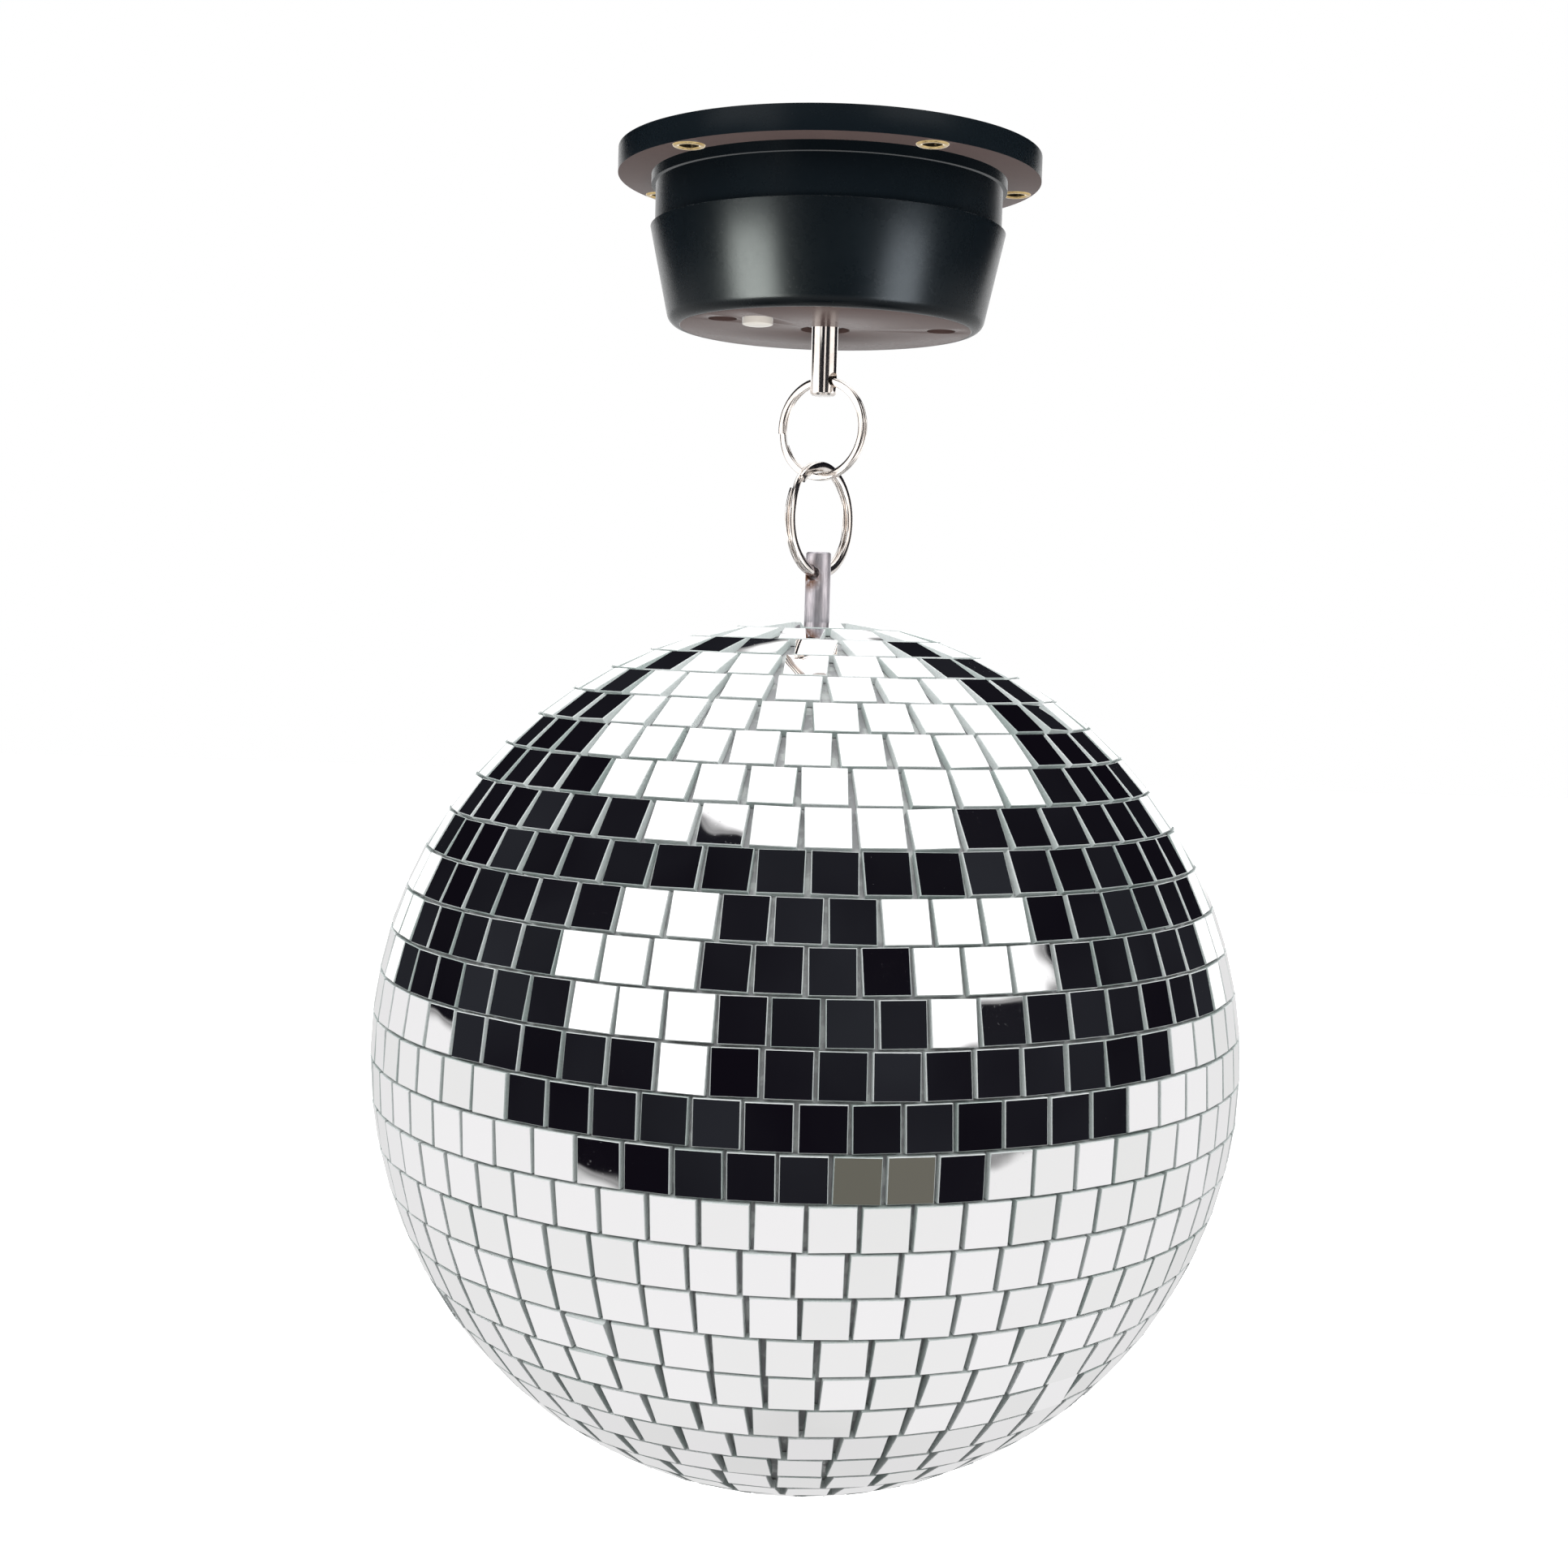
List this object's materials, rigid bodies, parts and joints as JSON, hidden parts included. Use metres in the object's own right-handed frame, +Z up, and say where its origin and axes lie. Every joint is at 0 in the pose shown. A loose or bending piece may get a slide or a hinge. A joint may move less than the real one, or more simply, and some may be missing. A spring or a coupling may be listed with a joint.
{
  "type": "mirror ball",
  "caption": "Ball covered in small square mirrors, hung by linked rings from the slow geared motor that fastens to a ceiling and turns it.",
  "frame": {"origin": "centre of the motor flange's upper face, which meets the ceiling", "axes": "+Z up along the shaft; the ball hangs towards -Z; -Y faces the viewer, and the push button is on that side"},
  "size_m": [0.2, 0.2, 0.3047],
  "materials": {
    "black_plastic": "satin black moulded plastic",
    "gloss_plate": "glossy black plastic",
    "brass_fittings": "polished",
    "chrome_parts": "polished chrome plate",
    "zinc_post": "dull zinc plate",
    "plain_steel": "plain steel",
    "nylon_gears": "natural nylon",
    "lead_insulation": "soft plastic insulation",
    "cream_button": "cream plastic",
    "ball_plastic": "plain plastic",
    "mirror_tiles": "silvered glass with ground edges"
  },
  "bodies": {
    "housing": {"ceiling_flange": "black_plastic", "fixing_eyelets": "brass_fittings", "cup_housing": "black_plastic", "bottom_plate": "gloss_plate", "plate_screws": "plain_steel", "thrust_washer": "brass_fittings", "shaft_bush": "black_plastic", "upper_bush": "brass_fittings", "gear_frame": "nylon_gears", "frame_pillars": "nylon_gears", "idler_axles": "plain_steel", "motor_can": "plain_steel", "battery_tray": "black_plastic", "battery_cells": "plain_steel", "contact_springs": "plain_steel", "contact_plates": "plain_steel", "inner_leads": "lead_insulation", "button_spring": "plain_steel", "switch_body": "black_plastic"},
    "shaft": {"output_shaft": "chrome_parts", "output_gear": "nylon_gears", "retaining_clip": "plain_steel"},
    "gear_1": {"idler_gear_1": "nylon_gears"},
    "gear_2": {"idler_gear_2": "nylon_gears"},
    "rotor": {"motor_rotor": "plain_steel", "rotor_pinion": "brass_fittings"},
    "button": {"power_button": "cream_button"},
    "upper_link": {"motor_ring": "chrome_parts"},
    "lower_link": {"ball_ring": "chrome_parts"},
    "ball": {"hanger_post": "zinc_post", "post_collar": "zinc_post", "inner_plate": "plain_steel", "post_nut": "plain_steel", "ball_core_upper": "ball_plastic", "ball_core_lower": "ball_plastic", "seam_ring": "ball_plastic", "mirror_band_01": "mirror_tiles", "mirror_band_02": "mirror_tiles", "mirror_band_03": "mirror_tiles", "mirror_band_04": "mirror_tiles", "mirror_band_05": "mirror_tiles", "mirror_band_06": "mirror_tiles", "mirror_band_07": "mirror_tiles", "mirror_band_08": "mirror_tiles", "mirror_band_09": "mirror_tiles", "mirror_band_10": "mirror_tiles", "mirror_band_11": "mirror_tiles", "mirror_band_12": "mirror_tiles", "mirror_band_13": "mirror_tiles", "mirror_band_14": "mirror_tiles", "mirror_band_15": "mirror_tiles", "mirror_band_16": "mirror_tiles"}
  },
  "joints": [
    {"name": "shaft_spin", "type": "hinge", "parent": "housing", "child": "shaft", "pos_m": [0, 0, -0.0537], "axis": [0, 0, 1], "continuous": true},
    {"name": "gear_2_spin", "type": "hinge", "parent": "housing", "child": "gear_2", "pos_m": [0.0075, 0.01299, -0.0388], "axis": [0, 0, 1], "continuous": true},
    {"name": "gear_1_spin", "type": "hinge", "parent": "housing", "child": "gear_1", "pos_m": [-0.0075, 0.01299, -0.0388], "axis": [0, 0, 1], "continuous": true},
    {"name": "rotor_spin", "type": "hinge", "parent": "housing", "child": "rotor", "pos_m": [-0.015, 0, -0.0388], "axis": [0, 0, 1], "continuous": true},
    {"name": "button_press", "type": "slide", "parent": "housing", "child": "button", "axis": [0, 0, 1], "range_m": [0, 0.0015], "stiffness_N_per_m": 200, "springref_m": -0.002, "deforming": ["button_spring"]},
    {"name": "motor_ring_swing", "type": "hinge", "parent": "shaft", "child": "upper_link", "pos_m": [0, 0, -0.0503], "axis": [0.8387, -0.5446, 0], "range_deg": [-35, 35]},
    {"name": "ball_ring_swing", "type": "hinge", "parent": "upper_link", "child": "lower_link", "pos_m": [0, 0, -0.0698], "axis": [0.5446, 0.8387, 0], "range_deg": [-35, 35]},
    {"name": "ball_swing", "type": "hinge", "parent": "lower_link", "child": "ball", "pos_m": [0, 0, -0.0942], "axis": [0.5446, 0.8387, 0], "range_deg": [-30, 30]}
  ],
  "couplings": [
    {"joint": "gear_2_spin", "follows": "shaft_spin", "ratio": -5},
    {"joint": "gear_1_spin", "follows": "shaft_spin", "ratio": 25},
    {"joint": "rotor_spin", "follows": "shaft_spin", "ratio": -125}
  ]
}
